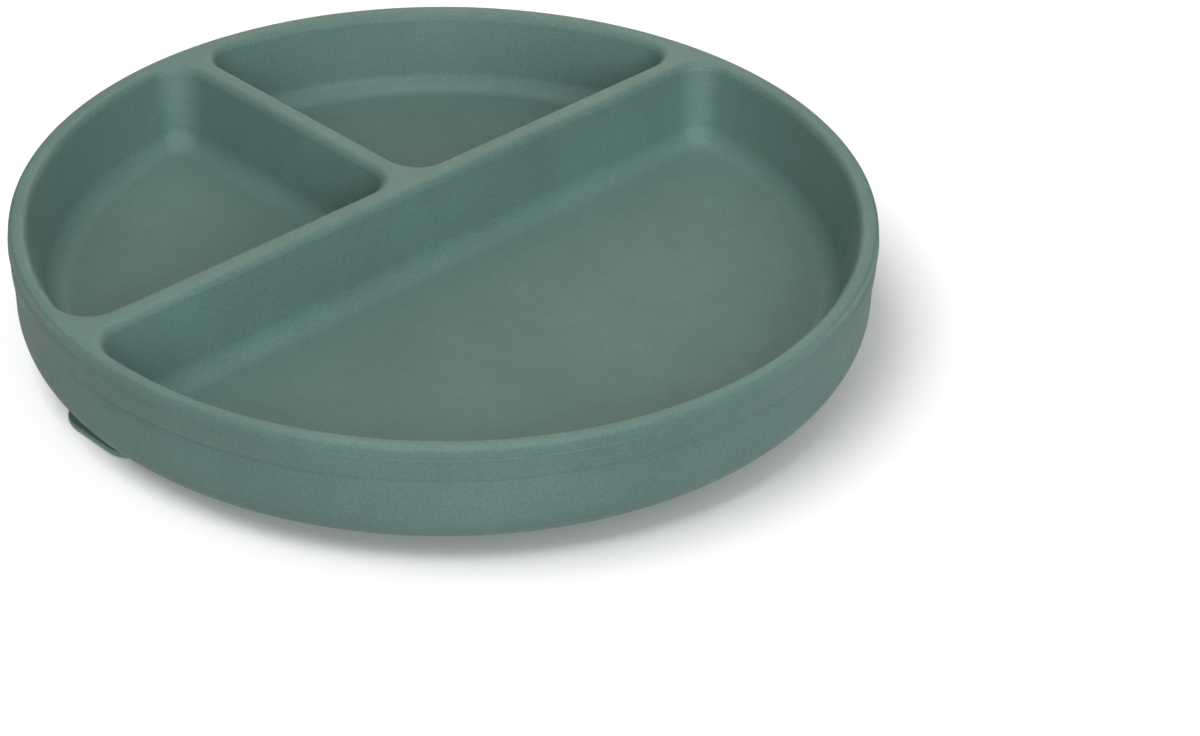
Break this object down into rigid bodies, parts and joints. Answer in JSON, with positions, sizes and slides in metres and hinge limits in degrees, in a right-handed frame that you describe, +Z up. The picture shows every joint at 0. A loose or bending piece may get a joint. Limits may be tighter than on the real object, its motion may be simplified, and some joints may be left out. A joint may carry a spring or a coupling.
{
  "type": "divided suction plate",
  "caption": "Round silicone suction plate for a toddler: a tray with a large and two small pockets on a skirt, a flexible suction base below, and a pull tab.",
  "frame": {"origin": "on the plate's axis, on the surface that it stands on", "axes": "+Z up, +X along the main divider and away from the pull tab, +Y towards the two small pockets"},
  "size_m": [0.195, 0.195, 0.0295],
  "materials": {
    "tray_silicone": "matte, fine grain, sage green",
    "skirt_silicone": "matte, fine grain, sage green",
    "base_silicone": "satin, smooth where it seals",
    "bond_film": "cured clear adhesive",
    "tab_silicone": "matte, fine grain, sage green"
  },
  "bodies": {
    "plate": {"tray": "tray_silicone", "skirt_ring": "skirt_silicone", "base_plate": "base_silicone", "base_bond": "bond_film", "cup_web": "base_silicone"},
    "lip": {"sealing_lip": "base_silicone", "tab_root": "tab_silicone"},
    "tab": {"pull_tab": "tab_silicone"}
  },
  "joints": [
    {"name": "cup_press", "type": "slide", "parent": "plate", "child": "lip", "axis": [0, 0, 1], "range_m": [0, 0.0012], "stiffness_N_per_m": 4000, "springref_m": -0.003, "deforming": ["cup_web"]},
    {"name": "tab_peel", "type": "hinge", "parent": "lip", "child": "tab", "pos_m": [-0.0805, 0.012, 0.0011], "axis": [0, 1, 0], "range_deg": [-50, 10], "stiffness_Nm_per_rad": 0.003}
  ]
}
